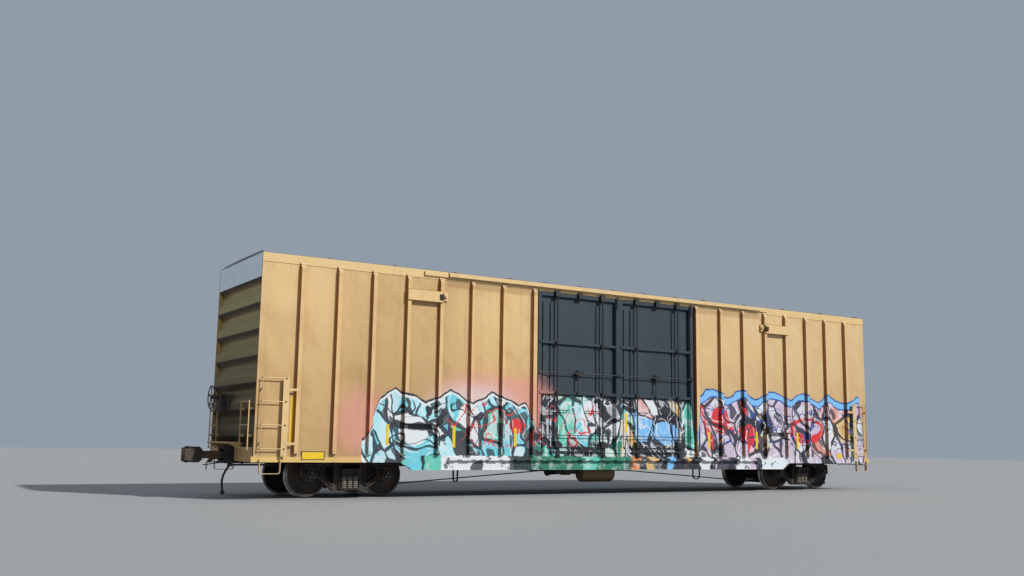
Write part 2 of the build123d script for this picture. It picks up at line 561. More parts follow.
# Locking gear of one leaf, carried by guides on the beams and cranks over the rollers
with BuildPart() as door_lock:
    for place in LOCK_PIPES:
        x = LEAF_X1 - place
        with Locations((x, LOCK_PIPE_Y, CRANK_TOP_Z - 20)):
            Cylinder(
                LOCK_PIPE_R, DOOR_HEAD_Z - CRANK_TOP_Z + 10,
                align=(Align.CENTER, Align.CENTER, Align.MIN),
            )
        for z in DOOR_BEAM_Z:
            with Locations((x, DOOR_BEAM_Y, z - DOOR_BEAM_SLOPE / 2)):
                Box(
                    LOCK_GUIDE[0], LOCK_PIPE_Y + LOCK_PIPE_R + 4 - DOOR_BEAM_Y, LOCK_GUIDE[1],
                    align=(Align.CENTER, Align.MIN, Align.CENTER),
                )
        # Crank casting, and the carriage with its roller on the lower track
        with BuildSketch(Plane.XZ.offset(-LOCK_PIPE_Y - LOCK_PIPE_R - 2)):
            with BuildLine():
                Polyline(
                    (x + CRANK_W / 3, CRANK_TOP_Z), (x - CRANK_W / 3, CRANK_TOP_Z),
                    (x - CRANK_W, CRANK_TOP_Z - 80), (x - CRANK_W, PANEL_FOOT_Z), (x + CRANK_W / 3, PANEL_FOOT_Z),
                    close=True,
                )
            make_face()
        extrude(amount=LOCK_PIPE_Y + LOCK_PIPE_R + 2 - DOOR_PANEL_Y)
        with Locations((x - CRANK_W / 3, DOOR_FRAME_Y + SEAT, SHELF_Z + ROLLER_R / 2)):
            Box(
                CARRIAGE_W, CARRIAGE_T, CRANK_TOP_Z - 60 - SHELF_Z - ROLLER_R / 2,
                align=(Align.CENTER, Align.MIN, Align.MIN),
            )
        roller_y = DOOR_FRAME_Y + SEAT + CARRIAGE_T
        with Locations((x - CRANK_W / 3, roller_y, SHELF_Z + SEAT + ROLLER_R)):
            Cylinder(
                ROLLER_R, ROLLER_W, rotation=(-90, 0, 0), align=(Align.CENTER, Align.CENTER, Align.MIN)
            )
    for place in LOCK_HANGERS:
        with Locations((LEAF_X1 - place, DOOR_FRAME_Y, DOOR_HEAD_Z + LOCK_HANGER_RISE)):
            Box(
                LOCK_HANGER[0], LOCK_PIPE_Y + LOCK_PIPE_R - DOOR_FRAME_Y, LOCK_HANGER[1],
                align=(Align.CENTER, Align.MIN, Align.MAX),
            )
    with Locations((LEAF_X0 + DOOR_EDGE_W / 2, DOOR_EDGE_Y, DOOR_HEAD_Z + LOCK_HANGER_RISE)):
        Box(
            EDGE_LATCH[0], LOCK_PIPE_Y - DOOR_EDGE_Y, EDGE_LATCH[1],
            align=(Align.CENTER, Align.MIN, Align.MAX),
        )
    # Cross rod with its keeper beside the door post, gear box and hand lever
    rod_x0 = LEAF_X0 + DOOR_EDGE_W / 2
    rod_x1 = LEAF_X1 + LOCK_ROD_OVER
    with BuildSketch(Plane.YZ.offset(rod_x0)):
        with Locations((LOCK_PIPE_Y, LOCK_ROD_Z)):
            Circle(LOCK_ROD_R)
    extrude(amount=rod_x1 - rod_x0)
    with Locations((rod_x1, DOOR_EDGE_Y + SEAT, LOCK_ROD_Z)):
        Box(
            LOCK_KEEPER[0], LOCK_PIPE_Y + LOCK_ROD_R + 4 - DOOR_EDGE_Y, LOCK_KEEPER[1],
            align=(Align.MAX, Align.MIN, Align.CENTER),
        )
    with Locations((rod_x0, DOOR_EDGE_Y, LOCK_ROD_Z)):
        Box(
            LOCK_KEEPER[0], LOCK_PIPE_Y + LOCK_ROD_R + 4 - DOOR_EDGE_Y, LOCK_KEEPER[1],
            align=(Align.CENTER, Align.MIN, Align.CENTER),
        )
    with Locations((LEAF_X1 - GEAR_BOX_AT, DOOR_PANEL_Y, LOCK_ROD_Z)):
        Box(
            GEAR_BOX[0], LOCK_PIPE_Y + LOCK_ROD_R - DOOR_PANEL_Y, GEAR_BOX[1] / 2,
            align=(Align.CENTER, Align.MIN, Align.CENTER),
        )
        Box(
            GEAR_BOX[0] / 2, LOCK_PIPE_Y + LOCK_ROD_R + 6 - DOOR_PANEL_Y, GEAR_BOX[1],
            align=(Align.CENTER, Align.MIN, Align.CENTER),
        )
    with Locations((LEAF_X1 - LEVER_AT, LOCK_PIPE_Y, LOCK_ROD_Z)):
        Box(
            LEVER[0], LEVER[1], LOCK_ROD_Z - DOOR_BEAM_Z[1],
            align=(Align.CENTER, Align.CENTER, Align.MAX),
        )
    with Locations((LEAF_X1 - LEVER_AT, DOOR_BEAM_Y, DOOR_BEAM_Z[1] - DOOR_BEAM_SLOPE / 2)):
        Box(
            2 * LEVER[0], LOCK_PIPE_Y + LEVER[1] / 2 - DOOR_BEAM_Y, LEVER[0],
            align=(Align.CENTER, Align.MIN, Align.CENTER),
        )
    # Grab bars, tie rod and the link bars of the cranks
    for start, end in GRABS:
        grab_y = LOCK_PIPE_Y - LOCK_PIPE_R - GRAB_R / 2
        with BuildSketch(Plane.YZ.offset(LEAF_X1 - end)):
            with Locations((grab_y, GRAB_Z)):
                Circle(GRAB_R)
        extrude(amount=end - start)
        for place in (start + GRAB_R, end - 4 * GRAB_R):
            with Locations((LEAF_X1 - place, DOOR_PANEL_Y, GRAB_Z)):
                Box(
                    2 * GRAB_R, grab_y - DOOR_PANEL_Y, 2 * GRAB_R,
                    align=(Align.CENTER, Align.MIN, Align.CENTER),
                )
    with BuildSketch(Plane.YZ.offset(LEAF_X1 - TIE_ROD[1])):
        with Locations((LOCK_PIPE_Y - GRAB_R / 2, TIE_ROD_Z)):
            Circle(GRAB_R)
    extrude(amount=TIE_ROD[1] - TIE_ROD[0])
    for place, seat in ((TIE_ROD[0] + GRAB_R, DOOR_FRAME_Y), (TIE_ROD[1] - GRAB_R, DOOR_EDGE_Y)):
        with Locations((LEAF_X1 - place, seat, TIE_ROD_Z)):
            Box(
                2 * GRAB_R, LOCK_PIPE_Y - seat, 3 * GRAB_R,
                align=(Align.CENTER, Align.MIN, Align.CENTER),
            )
    for z in LINK_Z:
        with Locations((LEAF_X1 - LINK[0], roller_y - CARRIAGE_T / 2, z)):
            Box(
                LINK[1] - LINK[0], CARRIAGE_T, LINK_H,
                align=(Align.MAX, Align.MIN, Align.CENTER),
            )

# Block on the wall beside the door post, under the end of the cross rod
with BuildPart() as rod_seat:
    with Locations((LEAF_X1 + LOCK_ROD_OVER, SHEET_Y + SEAT, LOCK_ROD_Z)):
        Box(
            LEAF_X1 + LOCK_ROD_OVER - OPENING_X, DOOR_EDGE_Y - SHEET_Y - SEAT, LOCK_KEEPER[1],
            align=(Align.MAX, Align.MIN, Align.CENTER),
        )

# Roof rib: a pressed cap across the roof, with sloping flanks and ends
with BuildPart() as roof_rib:
    with BuildSketch(Plane.YZ.offset(-ROOF_RIB_W / 2)):
        with BuildLine():
            Polyline(
                (-ROOF_RIB_END_Y, EAVE_Z + 4), (ROOF_RIB_END_Y, EAVE_Z + 4),
                (ROOF_RIB_END_Y, EAVE_Z + ROOF_EDGE_T + 12), (ROOF_RIB_SHOULDER_Y, RIB_TOP_Z - 14),
                (0, RIB_TOP_Z), (-ROOF_RIB_SHOULDER_Y, RIB_TOP_Z - 14),
                (-ROOF_RIB_END_Y, EAVE_Z + ROOF_EDGE_T + 12), close=True,
            )
        make_face()
    extrude(amount=ROOF_RIB_W)
    with BuildSketch(Plane.XZ.offset(ROOF_RIB_END_Y)):
        with Locations((0, EAVE_Z)):
            Trapezoid(
                ROOF_RIB_W, RIB_TOP_Z - EAVE_Z, ROOF_RIB_FLANK, align=(Align.CENTER, Align.MIN)
            )
    extrude(amount=-2 * ROOF_RIB_END_Y, mode=Mode.INTERSECT)

# Roof: two shallow slopes with the ribs across
with BuildPart() as roof:
    with BuildSketch(Plane.YZ.offset(-BODY_X)):
        with BuildLine():
            Polyline(
                (-SHEET_Y - PLATE_STEP, EAVE_Z), (SHEET_Y + PLATE_STEP, EAVE_Z),
                (SHEET_Y + PLATE_STEP, EAVE_Z + ROOF_EDGE_T), (0, EAVE_Z + ROOF_CROWN),
                (-SHEET_Y - PLATE_STEP, EAVE_Z + ROOF_EDGE_T), close=True,
            )
        make_face()
    extrude(amount=2 * BODY_X)
    rib_xs = sorted({x for x in ROOF_RIB_X} | {-x for x in ROOF_RIB_X})
    with Locations(*[(x, 0, 0) for x in rib_xs]):
        add(roof_rib.part)

# End wall: a plain band above, six deep horizontal corrugations below
corrugation = [(LOAD_X, SILL_TOP_Z), (LOAD_X, EAVE_Z), (BODY_X, EAVE_Z)]
for k in range(CORR_COUNT + 1):
    edge = BAND_Z - k * CORR_PITCH
    corrugation.append((BODY_X, edge))
    corrugation.append((BODY_X - CORR_DEPTH, edge - CORR_SLOPE))
    if k < CORR_COUNT:
        corrugation.append((BODY_X - CORR_DEPTH, edge - CORR_SLOPE - CORR_FLAT))
        corrugation.append((BODY_X, edge - 2 * CORR_SLOPE - CORR_FLAT))
corrugation.append((BODY_X - CORR_DEPTH, SILL_TOP_Z))
with BuildPart() as end_wall:
    with BuildSketch(Plane.XZ.offset(SHEET_Y - CORNER_T)):
        with BuildLine():
            Polyline(*corrugation, close=True)
        make_face()
    extrude(amount=-2 * (SHEET_Y - CORNER_T))

# Load floor on its stringers, which are Z bars
with BuildPart() as floor:
    with Locations((0, 0, FLOOR_Z)):
        Box(2 * LOAD_X, 2 * LOAD_Y, FLOOR_T, align=(Align.CENTER, Align.CENTER, Align.MAX))
    with BuildSketch(Plane.YZ.offset(-LOAD_X)):
        for y in (*STRINGER_Y, *[-y for y in STRINGER_Y]):
            with Locations((y, UNDER_Z)):
                Rectangle(STRINGER_T, STRINGER_H, align=(Align.CENTER, Align.MAX))
            with Locations((y, UNDER_Z - STRINGER_H)):
                Rectangle(STRINGER_W, STRINGER_T, align=(Align.CENTER, Align.MIN))
    extrude(amount=2 * LOAD_X)

# Centre sill: a hat section, open below, with strikers and centre plates
with BuildPart() as centre_sill:
    with BuildSketch(Plane.YZ.offset(-BODY_X)):
        with BuildLine():
            web_out = CENTRE_WEB_Y + CENTRE_WEB_T
            Polyline(
                (-web_out - CENTRE_FLANGE_W, CENTRE_SILL_Z), (-CENTRE_WEB_Y, CENTRE_SILL_Z),
                (-CENTRE_WEB_Y, UNDER_Z - CENTRE_WEB_T), (CENTRE_WEB_Y, UNDER_Z - CENTRE_WEB_T),
                (CENTRE_WEB_Y, CENTRE_SILL_Z), (web_out + CENTRE_FLANGE_W, CENTRE_SILL_Z),
                (web_out + CENTRE_FLANGE_W, CENTRE_SILL_Z + CENTRE_WEB_T),
                (web_out, CENTRE_SILL_Z + CENTRE_WEB_T), (web_out, UNDER_Z), (-web_out, UNDER_Z),
                (-web_out, CENTRE_SILL_Z + CENTRE_WEB_T),
                (-web_out - CENTRE_FLANGE_W, CENTRE_SILL_Z + CENTRE_WEB_T), close=True,
            )
        make_face()
    extrude(amount=2 * BODY_X)
    for end in (-1, 1):
        with Locations((end * TRUCK_X, 0, CENTRE_SILL_Z)):
            Box(
                BOLSTER_W, 2 * web_out, UNDER_Z - CENTRE_SILL_Z,
                align=(Align.CENTER, Align.CENTER, Align.MIN),
            )
            Cylinder(
                CENTRE_PLATE_R, CENTRE_SILL_Z - CENTRE_PLATE_Z,
                align=(Align.CENTER, Align.CENTER, Align.MAX),
            )
        with Locations((end * (BODY_X + STRIKER_X) / 2, 0, COUPLER_Z)):
            Box(STRIKER_X - BODY_X, 2 * web_out + 60, 360)
            Box(STRIKER_X - BODY_X, 2 * CENTRE_WEB_Y, 250, mode=Mode.SUBTRACT)

# Body bolster: from the centre sill out to the side sill over each truck
with BuildPart() as body_bolster:
    with BuildSketch(Plane.YZ.offset(TRUCK_X - BOLSTER_W / 2)):
        with BuildLine():
            Polyline(
                (web_out, UNDER_Z), (LOAD_Y, UNDER_Z), (SHEET_Y - SILL_PLATE_T, UNDER_Z - SILL_PLATE_T),
                (SHEET_Y - SILL_PLATE_T, UNDER_Z - 160), (LOAD_Y, UNDER_Z - 180),
                (SIDE_BEARING_Y + 120, BEARING_PLATE_Z), (SIDE_BEARING_Y - 150, BEARING_PLATE_Z),
                (web_out, CENTRE_SILL_Z + CENTRE_WEB_T), close=True,
            )
        make_face()
    extrude(amount=BOLSTER_W)
    with Locations(*[(TRUCK_X, y, UNDER_Z) for y in STRINGER_Y]):
        Box(
            2 * BOLSTER_W, STRINGER_W + 2 * SEAT, 2 * (STRINGER_H + SEAT), mode=Mode.SUBTRACT,
        )

# Crossbearers between the trucks
with BuildPart() as crossbearers:
    for x in CROSSBEARER_X:
        for end in (-1, 1):
            with BuildSketch(Plane.YZ.offset(end * x - SILL_PLATE_T / 2)):
                with BuildLine():
                    Polyline(
                        (web_out, UNDER_Z), (LOAD_Y, UNDER_Z), (LOAD_Y, UNDER_Z - 150),
                        (web_out + CENTRE_FLANGE_W + 40, CENTRE_SILL_Z + 60),
                        (web_out, CENTRE_SILL_Z + 60), close=True,
                    )
                make_face()
            extrude(amount=SILL_PLATE_T)
            with Locations((end * x, (web_out + LOAD_Y) / 2, UNDER_Z)):
                Box(
                    CROSSBEARER_W, LOAD_Y - web_out, SILL_PLATE_T,
                    align=(Align.CENTER, Align.CENTER, Align.MAX),
                )
    with Locations(*[(0, y, UNDER_Z) for y in STRINGER_Y]):
        Box(
            2 * LOAD_X, STRINGER_W + 2 * SEAT, 2 * (STRINGER_H + SEAT), mode=Mode.SUBTRACT,
        )

# End sill: a channel under each end wall
with BuildPart() as end_sill:
    with BuildSketch(Plane.XZ.offset(LOAD_Y)):
        with BuildLine():
            Polyline(
                (BODY_X, SILL_Z), (BODY_X, SILL_TOP_Z), (LOAD_X, SILL_TOP_Z),
                (LOAD_X, SILL_TOP_Z - SILL_PLATE_T), (BODY_X - SILL_PLATE_T, SILL_TOP_Z - SILL_PLATE_T),
                (BODY_X - SILL_PLATE_T, SILL_Z + SILL_PLATE_T), (BODY_X - END_SILL_W, SILL_Z + SILL_PLATE_T),
                (BODY_X - END_SILL_W, SILL_Z), close=True,
            )
        make_face()
    extrude(amount=-2 * LOAD_Y)
    with Locations((BODY_X, 0, SILL_Z - 1)):
        Box(
            4 * END_SILL_W, 2 * (web_out + CENTRE_FLANGE_W), UNDER_Z - SILL_Z + 1,
            align=(Align.CENTER, Align.CENTER, Align.MIN), mode=Mode.SUBTRACT,
        )

# Side ladder and end ladder of one corner. The side ladder has a thin outer stile, and a
# wide plate as its inner one, with straps from it to the face of the next post
with BuildPart() as ladders:
    ladder_top_z = LADDER_Z[-1] + STILE_W / 2
    ladder_x0 = LADDER_PLATE_X + LADDER_PLATE_W / 2 - STILE_T
    plate_y = POST_Y + SEAT - STILE_T
    with Locations((LADDER_X, LADDER_Y, (LADDER_Z[0] + LADDER_Z[-1]) / 2)):
        Box(STILE_T, STILE_W / 2, LADDER_Z[-1] - LADDER_Z[0] + STILE_W)
    with Locations((LADDER_PLATE_X, plate_y, LADDER_PLATE_FOOT_Z)):
        Box(
            LADDER_PLATE_W, STILE_T, ladder_top_z - LADDER_PLATE_FOOT_Z,
            align=(Align.CENTER, Align.MIN, Align.MIN),
        )
    for z in STANDOFF_Z:
        with Locations((LADDER_X, SHEET_Y, z)):
            Box(
                STILE_T, LADDER_Y - STILE_W / 4 - SHEET_Y, STILE_W,
                align=(Align.CENTER, Align.MIN, Align.CENTER),
            )
        with Locations((LADDER_PLATE_X, SHEET_Y, z)):
            Box(
                STILE_T, plate_y - SHEET_Y, STILE_W, align=(Align.CENTER, Align.MIN, Align.CENTER)
            )
        with Locations((POST_X[-1] - POST_FRONT_W / 3, POST_Y + SEAT, z)):
            Box(
                LADDER_PLATE_X - POST_X[-1] + POST_FRONT_W / 3, STRAP_T, STILE_W,
                align=(Align.MIN, Align.MIN, Align.CENTER),
            )
    for z in LADDER_Z:
        with BuildSketch(Plane.YZ.offset(ladder_x0)):
            with Locations((LADDER_Y, z)):
                Circle(RUNG_R)
        extrude(amount=LADDER_X - STILE_T / 2 - ladder_x0)
    end_top_z = LADDER_Z[END_RUNGS - 1]
    for y in END_LADDER_Y:
        with Locations((BODY_X + END_LADDER_OUT, y, (LADDER_Z[0] + end_top_z) / 2)):
            Box(STILE_W / 2, STILE_T, end_top_z - LADDER_Z[0] + STILE_W)
        for k in (5, 6):
            with Locations((BODY_X, y, BAND_Z - k * CORR_PITCH + STILE_W / 2)):
                Box(
                    END_LADDER_OUT - STILE_W / 4, STILE_T, STILE_W,
                    align=(Align.MIN, Align.CENTER, Align.CENTER),
                )
    for z in LADDER_Z[:END_RUNGS]:
        with BuildSketch(Plane.XZ.offset(-END_LADDER_Y[0] - STILE_T / 2 + 1)):
            with Locations((BODY_X + END_LADDER_OUT, z)):
                Circle(RUNG_R)
        extrude(amount=-(END_LADDER_Y[1] - END_LADDER_Y[0] - STILE_T + 2))

# Sill step of one corner: a bent strap under the side sill
with BuildPart() as sill_step:
    with BuildSketch(Plane.XZ.offset(-SHEET_Y - RUB_PLATE_T - SEAT - STEP_W)):
        with BuildLine():
            FilletPolyline(
                (STEP_X[0], SILL_Z + STEP_RISE), (STEP_X[0], SILL_Z - STEP_DROP),
                (STEP_X[1], SILL_Z - STEP_DROP), (STEP_X[1], SILL_Z + STEP_RISE), radius=STEP_R,
            )
        trace(line_width=STEP_T)
    extrude(amount=STEP_W)

# Crossover platform over the coupler
with BuildPart() as platform:
    with Locations((BODY_X, 0, PLATFORM_Z)):
        Box(PLATFORM_OUT, 2 * PLATFORM_Y, PLATFORM_T, align=(Align.MIN, Align.CENTER, Align.MAX))
    for y in (-PLATFORM_Y + 60, PLATFORM_Y - 60):
        with BuildSketch(Plane.XZ.offset(-y)):
            with BuildLine():
                Polyline(
                    (BODY_X, PLATFORM_Z - PLATFORM_T), (BODY_X + PLATFORM_OUT - 20, PLATFORM_Z - PLATFORM_T),
                    (BODY_X, SILL_TOP_Z - 60), close=True,
                )
            make_face()
        extrude(amount=SILL_PLATE_T)

# Both platforms, with a slot for the brake rod at the brake end
with BuildPart() as platforms:
    add(both_ends(platform.part))
    with Locations((-BODY_X - BRAKE_ROD_OUT, BRAKE_Y, PLATFORM_Z)):
        Box(4 * BRAKE_ROD_R, 4 * BRAKE_ROD_R, 3 * PLATFORM_T, mode=Mode.SUBTRACT)

# Hand brake: gear case on its plate, with the rod down to the end sill
with BuildPart() as brake_case:
    with Locations((BODY_X, BRAKE_PLATE_Y, BRAKE_Z)):
        Box(*BRAKE_PLATE, align=(Align.MIN, Align.CENTER, Align.CENTER))
    with Locations((BODY_X + BRAKE_PLATE[0], BRAKE_Y, BRAKE_Z)):
        Box(*BRAKE_BOX, align=(Align.MIN, Align.CENTER, Align.CENTER))
    fillet(brake_case.edges().group_by(Axis.X)[-1], radius=30)
    with Locations((BODY_X + BRAKE_ROD_OUT, BRAKE_Y, BRAKE_ROD_FOOT_Z)):
        Cylinder(
            BRAKE_ROD_R, BRAKE_Z - BRAKE_ROD_FOOT_Z - BRAKE_BOX[2] / 2 + 5,
            align=(Align.CENTER, Align.CENTER, Align.MIN),
        )
    with BuildSketch(Plane.XZ.offset(-BRAKE_Y - SILL_PLATE_T / 2)):
        with BuildLine():
            Polyline(
                (BODY_X + SEAT, BRAKE_ROD_FOOT_Z - 25), (BODY_X + BRAKE_ROD_OUT + 25, BRAKE_ROD_FOOT_Z - 25),
                (BODY_X + BRAKE_ROD_OUT + 25, BRAKE_ROD_FOOT_Z + 20), (BODY_X + SEAT, BRAKE_ROD_FOOT_Z + 80),
                close=True,
            )
        make_face()
    extrude(amount=SILL_PLATE_T)

# Brake wheel: round rim, five spokes, hub and shaft
with BuildPart() as brake_wheel:
    with BuildSketch(Plane.XZ.offset(-BRAKE_Y)):
        with Locations((BODY_X + BRAKE_WHEEL_OUT, BRAKE_WHEEL_Z + BRAKE_WHEEL_R)):
            RegularPolygon(BRAKE_RIM_R, 8)
    wheel_axis = Axis((BODY_X + BRAKE_WHEEL_OUT, BRAKE_Y, BRAKE_WHEEL_Z), (1, 0, 0))
    revolve(axis=wheel_axis)
    shaft_x = BODY_X + BRAKE_PLATE[0] + BRAKE_BOX[0] + SEAT
    with BuildSketch(Plane.YZ.offset(shaft_x)):
        with Locations((BRAKE_Y, BRAKE_WHEEL_Z)):
            Circle(32)
    extrude(amount=BODY_X + BRAKE_WHEEL_OUT + 14 - shaft_x)
    hub_plane = Plane(
        origin=(BODY_X + BRAKE_WHEEL_OUT, BRAKE_Y, BRAKE_WHEEL_Z), x_dir=(0, 1, 0), z_dir=(1, 0, 0)
    )
    with BuildSketch(hub_plane.offset(-6)):
        with PolarLocations(BRAKE_WHEEL_R / 2, 5, start_angle=90):
            Rectangle(BRAKE_WHEEL_R, 34)
    extrude(amount=12)

# Air tank on its two hangers
with BuildPart() as air_tank:
    with BuildSketch(Plane.YZ.offset(TANK_POS[0] - TANK_L / 2)):
        with Locations(TANK_POS[1:]):
            Circle(TANK_R)
    extrude(amount=TANK_L)
    fillet(air_tank.edges().filter_by(GeomType.CIRCLE), radius=90)
    for end in (-1, 1):
        with Locations((TANK_POS[0] + end * TANK_L / 3, TANK_POS[1], TANK_POS[2])):
            Box(50, 24, UNDER_Z - TANK_POS[2], align=(Align.CENTER, Align.CENTER, Align.MIN))

# Brake cylinder, its ends flanged, on a bracket
with BuildPart() as brake_cylinder:
    with BuildSketch(Plane.YZ.offset(CYLINDER_POS[0] - CYLINDER_L / 2)):
        with Locations(CYLINDER_POS[1:]):
            Circle(CYLINDER_R)
    extrude(amount=CYLINDER_L / 10)
    with BuildSketch(Plane.YZ.offset(CYLINDER_POS[0] - CYLINDER_L / 2)):
        with Locations(CYLINDER_POS[1:]):
            Circle(CYLINDER_R * 0.86)
    extrude(amount=CYLINDER_L, taper=3)
    with Locations(CYLINDER_POS):
        Box(CYLINDER_L / 2, 30, UNDER_Z - CYLINDER_POS[2], align=(Align.CENTER, Align.CENTER, Align.MIN))

# Control valve: two round bodies on a bracket, with a nipple up to the train pipe
with BuildPart() as control_valve:
    with Locations(VALVE_POS):
        Box(*VALVE_BRACKET)
        Box(40, 24, UNDER_Z - VALVE_POS[2], align=(Align.CENTER, Align.CENTER, Align.MIN))
    with BuildSketch(Plane.YZ.offset(VALVE_POS[0] - VALVE_BRACKET[0] / 2 - VALVE_L)):
        with Locations(VALVE_POS[1:]):
            Circle(VALVE_R)
    extrude(amount=VALVE_BRACKET[0] + 2 * VALVE_L)
    fillet(control_valve.edges().filter_by(GeomType.CIRCLE), radius=25)
    with Locations((VALVE_POS[0], -PIPE_Y, VALVE_POS[2])):
        Cylinder(
            PIPE_R / 2, PIPE_Z - PIPE_R - SEAT - VALVE_POS[2],
            align=(Align.CENTER, Align.CENTER, Align.MIN),
        )

# Brake rods, body levers, the push rod of the cylinder and the guides of the rods
with BuildPart() as brake_rods:
    for start, end in BODY_RODS:
        rod_start = Vector(start[0], 0, RAIL_Z + start[1])
        rod_run = Vector(end[0], 0, RAIL_Z + end[1]) - rod_start
        with BuildSketch(Plane(origin=rod_start, z_dir=rod_run)):
            Circle(BODY_ROD_R)
        extrude(amount=rod_run.length)
    for x, z, reach in BODY_LEVERS:
        with Locations((x, -BODY_LEVER[0] / 2, RAIL_Z + z)):
            Box(
                BODY_LEVER[0], reach + BODY_LEVER[0], BODY_LEVER[1],
                align=(Align.CENTER, Align.MIN, Align.CENTER),
            )
    first, second = BODY_LEVERS
    with BuildSketch(Plane.YZ.offset(first[0])):
        with Locations((CENTRE_ROD_Y, RAIL_Z + (first[1] + second[1]) / 2)):
            Circle(BODY_ROD_R)
    extrude(amount=second[0] - first[0])
    with BuildSketch(Plane.YZ.offset(first[0])):
        with Locations(CYLINDER_POS[1:]):
            Circle(2 * BODY_ROD_R)
    extrude(amount=CYLINDER_POS[0] - CYLINDER_L / 2 - SEAT - first[0])
    with Locations((second[0], second[2], RAIL_Z + second[1])):
        Box(
            BODY_LEVER[0], BODY_LEVER[1], UNDER_Z - RAIL_Z - second[1],
            align=(Align.CENTER, Align.CENTER, Align.MIN),
        )

# Guides: a loop under the centre sill around each long rod
with BuildPart() as rod_guides:
    for x, foot, half in ROD_GUIDES:
        with BuildSketch(Plane.YZ.offset(x - GUIDE_BAR)):
            with Locations((0, RAIL_Z + foot)):
                loop = RectangleRounded(
                    2 * half + 2 * GUIDE_BAR, 2 * (CENTRE_SILL_Z - RAIL_Z - foot), half,
                    align=(Align.CENTER, Align.MIN),
                )
                with Locations((0, GUIDE_BAR)):
                    RectangleRounded(
                        2 * half, 2 * (CENTRE_SILL_Z - RAIL_Z - foot), half - GUIDE_BAR,
                        align=(Align.CENTER, Align.MIN), mode=Mode.SUBTRACT,
                    )
            with Locations((0, CENTRE_SILL_Z - GUIDE_BAR)):
                Rectangle(2 * web_out + CENTRE_FLANGE_W, GUIDE_BAR, align=(Align.CENTER, Align.MIN))
            with Locations((0, CENTRE_SILL_Z)):
                Rectangle(
                    4 * half, 2 * CENTRE_SILL_Z, align=(Align.CENTER, Align.MIN), mode=Mode.SUBTRACT
                )
        extrude(amount=2 * GUIDE_BAR)

# Train pipe from end to end, crossing under the centre sill, with its hangers and cocks
pipe_end = Vector(PIPE_END_X, PIPE_Y, PIPE_Z)
pipe_cross = Vector(PIPE_CROSS_X[1], PIPE_Y, PIPE_Z)
with BuildPart() as train_pipe:
    with BuildLine():
        pipe_run = FilletPolyline(
            (-PIPE_END_X, -PIPE_Y, PIPE_Z), (PIPE_CROSS_X[0], -PIPE_Y, PIPE_Z), pipe_cross, pipe_end,
            radius=4 * PIPE_R,
        )
    with BuildSketch(Plane.YZ.offset(-PIPE_END_X)):
        with Locations((-PIPE_Y, PIPE_Z)):
            Circle(PIPE_R)
    sweep(path=pipe_run)
    for end in (-1, 1):
        for x in PIPE_HANGER_X:
            side = 1 if end * x > PIPE_CROSS_X[0] else -1
            with Locations((end * x, side * (PIPE_Y + PIPE_R), CENTRE_SILL_Z - SEAT)):
                Box(
                    8, PIPE_Y + PIPE_R - web_out - CENTRE_FLANGE_W / 2, CENTRE_SILL_Z - PIPE_Z,
                    align=(Align.CENTER, Align.MAX if side > 0 else Align.MIN, Align.MAX),
                )
        cock_plane = Plane(
            origin=(end * PIPE_END_X, end * PIPE_Y, PIPE_Z), x_dir=(0, 1, 0), z_dir=(end, 0, 0)
        )
        with BuildSketch(cock_plane):
            Circle(COCK_R)
        extrude(amount=COCK_L)
        with Locations((end * (PIPE_END_X + COCK_L / 3), end * PIPE_Y, PIPE_Z)):
            Cylinder(COCK_R / 2, 2 * COCK_R, align=(Align.CENTER, Align.CENTER, Align.MIN))
            with Locations((0, 0, 2 * COCK_R - STRAP_T)):
                Box(
                    COCK_R, COCK_HANDLE, 2 * STRAP_T,
                    align=(Align.CENTER, Align.MIN if end > 0 else Align.MAX, Align.CENTER),
                )
        out, down = HOSE_ROUTE[1]
        nipple_plane = Plane(
            origin=(end * (PIPE_END_X + COCK_L / 2), end * PIPE_Y, PIPE_Z), z_dir=(end * out, 0, -down)
        )
        with BuildSketch(nipple_plane):
            Circle(NIPPLE_R)
        extrude(amount=COCK_R + NIPPLE_L)

# Air hose of the +X end: straight runs joined by arcs, each arc taking nine tenths of
# the shorter run beside it. It starts in the nipple's end
hose_start = nipple_plane.origin + nipple_plane.z_dir * (COCK_R + NIPPLE_L)
hose_points = [hose_start + Vector(out, 0, -down) for out, down in HOSE_ROUTE]
hose_runs = [after - before for before, after in zip(hose_points, hose_points[1:])]
hose_radii = []
for before, after in zip(hose_runs, hose_runs[1:]):
    half_turn = math.radians(before.get_angle(after) / 2)
    hose_radii.append(0.45 * min(before.length, after.length) / math.tan(half_turn))
with BuildPart() as air_hose:
    with BuildLine():
        hose_line = FilletPolyline(*hose_points, radius=hose_radii)
    with BuildSketch(Plane(origin=hose_start, z_dir=hose_runs[0])):
        Circle(HOSE_R)
    sweep(path=hose_line)
print("hose radii", [round(radius) for radius in hose_radii], "length", round(hose_line.length))

# Gladhand at the hose's end: a neck and a flat round head
with BuildPart() as gladhand:
    neck_plane = Plane(origin=hose_points[-1], z_dir=hose_runs[-1])
    with BuildSketch(neck_plane):
        Circle(HOSE_R + 4)
    extrude(amount=GLADHAND_L)
    head_at = hose_points[-1] + hose_runs[-1].normalized() * GLADHAND_L
    with BuildSketch(Plane.XZ.offset(-head_at.Y - GLADHAND_T / 2)):
        with Locations((head_at.X, head_at.Z)):
            Circle(GLADHAND_R)
    extrude(amount=GLADHAND_T)

